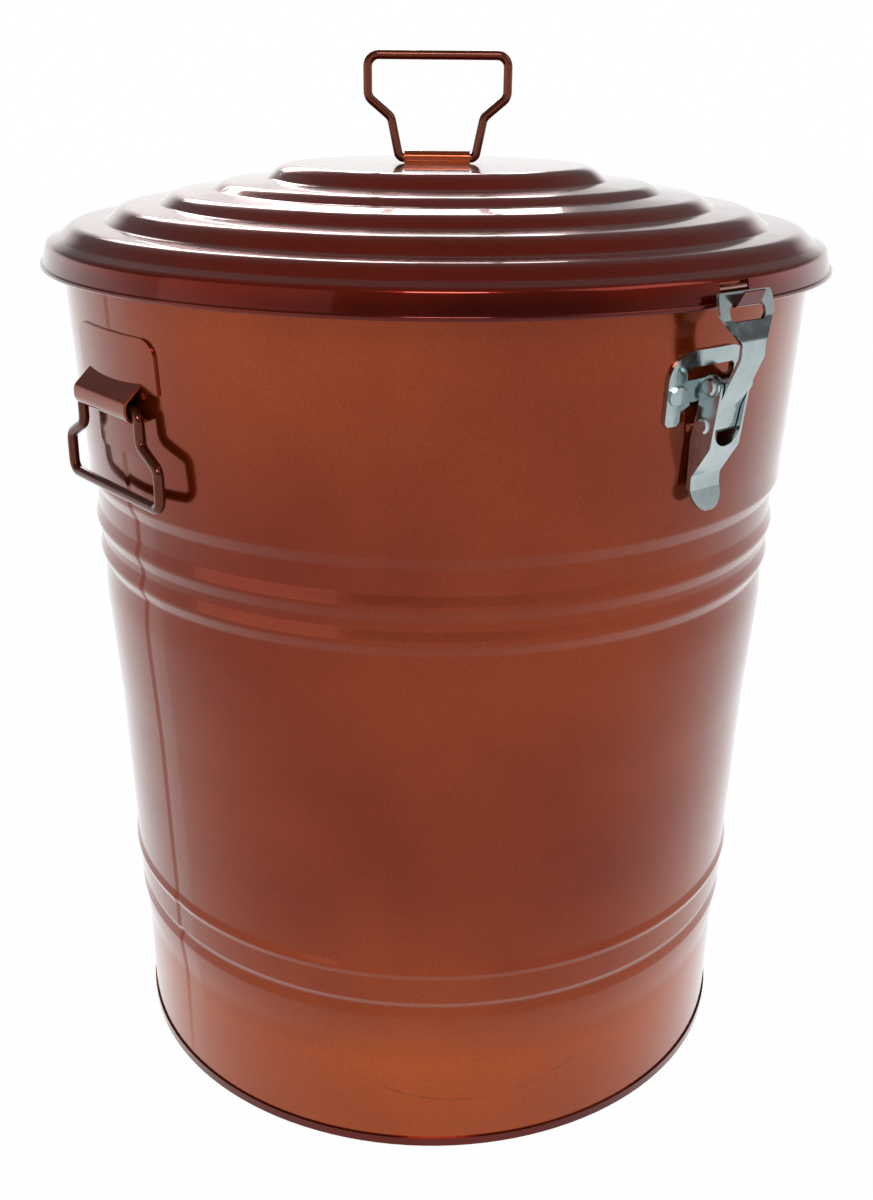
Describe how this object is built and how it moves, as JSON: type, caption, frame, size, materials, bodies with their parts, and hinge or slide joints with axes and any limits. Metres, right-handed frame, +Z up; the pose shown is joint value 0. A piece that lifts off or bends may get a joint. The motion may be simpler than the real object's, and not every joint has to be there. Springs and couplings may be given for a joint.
{
  "type": "metal storage can",
  "caption": "Tapered round sheet-metal storage can with a stepped lift-off lid, over-centre draw latches, wire side handles and a wire lid handle",
  "frame": {"origin": "centre of the base, on the floor under the seam", "axes": "+Z up along the can's axis; draw latches on -Y and +Y; side handles on -X and +X"},
  "size_m": [0.4001, 0.4202, 0.5309],
  "materials": {
    "can_paint": "gloss",
    "lid_paint": "gloss",
    "zinc_sheet": "satin",
    "pin_steel": "bright"
  },
  "bodies": {
    "can": {"body_shell": "can_paint", "base_pan": "can_paint", "handle_plate_left": "can_paint", "handle_plate_right": "can_paint", "latch_base_front": "zinc_sheet", "latch_base_back": "zinc_sheet", "latch_rivets_front": "zinc_sheet", "latch_rivets_back": "zinc_sheet", "lever_pivot_front": "pin_steel", "lever_pivot_back": "pin_steel"},
    "lid": {"lid_shell": "lid_paint", "lid_handle_clip": "can_paint"},
    "lid_handle": {"lid_handle_bail": "can_paint"},
    "left_handle": {"handle_bail_left": "can_paint"},
    "right_handle": {"handle_bail_right": "can_paint"},
    "front_lever": {"latch_lever_front": "zinc_sheet", "tongue_pin_front": "pin_steel"},
    "back_lever": {"latch_lever_back": "zinc_sheet", "tongue_pin_back": "pin_steel"},
    "front_tongue": {"draw_tongue_front": "zinc_sheet"},
    "back_tongue": {"draw_tongue_back": "zinc_sheet"}
  },
  "joints": [
    {"name": "lid_lift", "type": "slide", "parent": "can", "child": "lid", "axis": [0, 0, 1], "range_m": [0, 0.12]},
    {"name": "lid_handle_swing", "type": "hinge", "parent": "lid", "child": "lid_handle", "pos_m": [0, 0, 0.47985], "axis": [0.7771, -0.6293, 0], "range_deg": [-80, 80]},
    {"name": "left_handle_swing", "type": "hinge", "parent": "can", "child": "left_handle", "pos_m": [-0.1903, 0, 0.38], "axis": [0, 1, 0], "range_deg": [0, 110]},
    {"name": "right_handle_swing", "type": "hinge", "parent": "can", "child": "right_handle", "pos_m": [0.1903, 0, 0.38], "axis": [0, -1, 0], "range_deg": [0, 110]},
    {"name": "front_lever_swing", "type": "hinge", "parent": "can", "child": "front_lever", "pos_m": [0, -0.1976, 0.398], "axis": [-1, 0, 0], "range_deg": [0, 70]},
    {"name": "front_tongue_swing", "type": "hinge", "parent": "front_lever", "child": "front_tongue", "pos_m": [0, -0.194, 0.3804], "axis": [-1, 0, 0], "range_deg": [-50, 0]},
    {"name": "back_lever_swing", "type": "hinge", "parent": "can", "child": "back_lever", "pos_m": [0, 0.1976, 0.398], "axis": [1, 0, 0], "range_deg": [0, 70]},
    {"name": "back_tongue_swing", "type": "hinge", "parent": "back_lever", "child": "back_tongue", "pos_m": [0, 0.194, 0.3804], "axis": [1, 0, 0], "range_deg": [-50, 0]}
  ],
  "couplings": [
    {"joint": "front_tongue_swing", "follows": "front_lever_swing", "ratio": -0.7},
    {"joint": "back_tongue_swing", "follows": "back_lever_swing", "ratio": -0.7}
  ]
}
